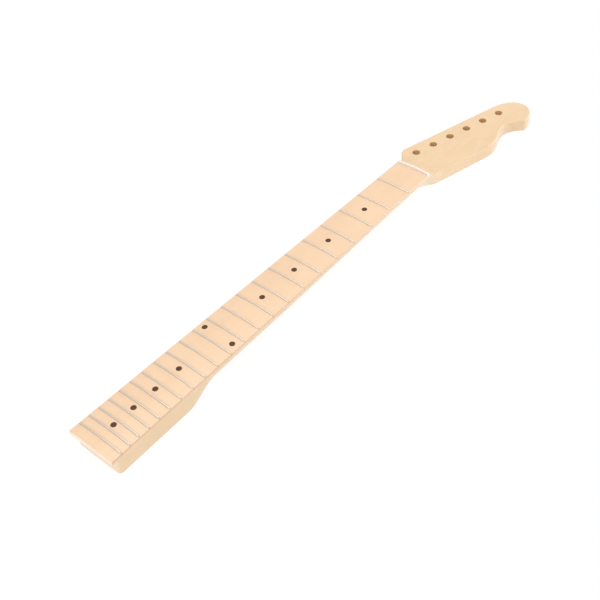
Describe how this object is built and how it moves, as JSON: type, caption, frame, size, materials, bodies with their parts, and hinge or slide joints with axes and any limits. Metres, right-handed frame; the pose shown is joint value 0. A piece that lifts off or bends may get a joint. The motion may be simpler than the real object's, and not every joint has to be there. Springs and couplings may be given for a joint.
{
  "type": "electric guitar neck",
  "caption": "Bolt-on maple electric guitar neck with separate crowned fretboard, metal frets, black position dots, bone-coloured nut, drilled headstock and heel-adjusted truss rod",
  "frame": {"origin": "middle of the heel's flat back, on the centreline, half of a 76 mm neck pocket from the heel's end", "axes": "+X runs along the centreline to the headstock, +Y to the bass-string side, where the tuner holes are, and +Z out of the face of the fretboard"},
  "size_m": [0.6672, 0.0843, 0.0271],
  "materials": {
    "neck_maple": "pale yellow maple under clear satin-gloss lacquer, fine straight grain",
    "board_maple": "pale peach maple under clear gloss lacquer, faint pores and flecks",
    "fret_nickel": "polished nickel-silver fret wire",
    "nut_bone": "off-white bone-like plastic, polished",
    "dot_black": "black inlay dots levelled with the wood, under lacquer",
    "rod_steel": "zinc-plated steel rod, bar and hex-socket adjuster",
    "anchor_brass": "machined brass anchor blocks"
  },
  "bodies": {
    "neck": {"neck": "neck_maple", "fretboard": "board_maple", "nut": "nut_bone", "fret_01": "fret_nickel", "fret_02": "fret_nickel", "fret_03": "fret_nickel", "fret_04": "fret_nickel", "fret_05": "fret_nickel", "fret_06": "fret_nickel", "fret_07": "fret_nickel", "fret_08": "fret_nickel", "fret_09": "fret_nickel", "fret_10": "fret_nickel", "fret_11": "fret_nickel", "fret_12": "fret_nickel", "fret_13": "fret_nickel", "fret_14": "fret_nickel", "fret_15": "fret_nickel", "fret_16": "fret_nickel", "fret_17": "fret_nickel", "fret_18": "fret_nickel", "fret_19": "fret_nickel", "fret_20": "fret_nickel", "fret_21": "fret_nickel", "fret_22": "fret_nickel", "face_dot_03": "dot_black", "face_dot_05": "dot_black", "face_dot_07": "dot_black", "face_dot_09": "dot_black", "face_dot_12_bass": "dot_black", "face_dot_12_treble": "dot_black", "face_dot_15": "dot_black", "face_dot_17": "dot_black", "face_dot_19": "dot_black", "face_dot_21": "dot_black", "side_dot_03": "dot_black", "side_dot_05": "dot_black", "side_dot_07": "dot_black", "side_dot_09": "dot_black", "side_dot_12_head": "dot_black", "side_dot_12_heel": "dot_black", "side_dot_15": "dot_black", "side_dot_17": "dot_black", "side_dot_19": "dot_black", "side_dot_21": "dot_black", "truss_rod_bar": "rod_steel", "truss_rod_anchor_heel": "anchor_brass", "truss_rod_anchor_head": "anchor_brass"},
    "truss_rod": {"truss_rod_adjuster": "rod_steel", "truss_rod": "rod_steel"}
  },
  "joints": [
    {"name": "truss_adjust", "type": "hinge", "parent": "neck", "child": "truss_rod", "pos_m": [-0.037, 0, 0.01205], "axis": [1, 0, 0], "range_deg": [-360, 360]}
  ]
}
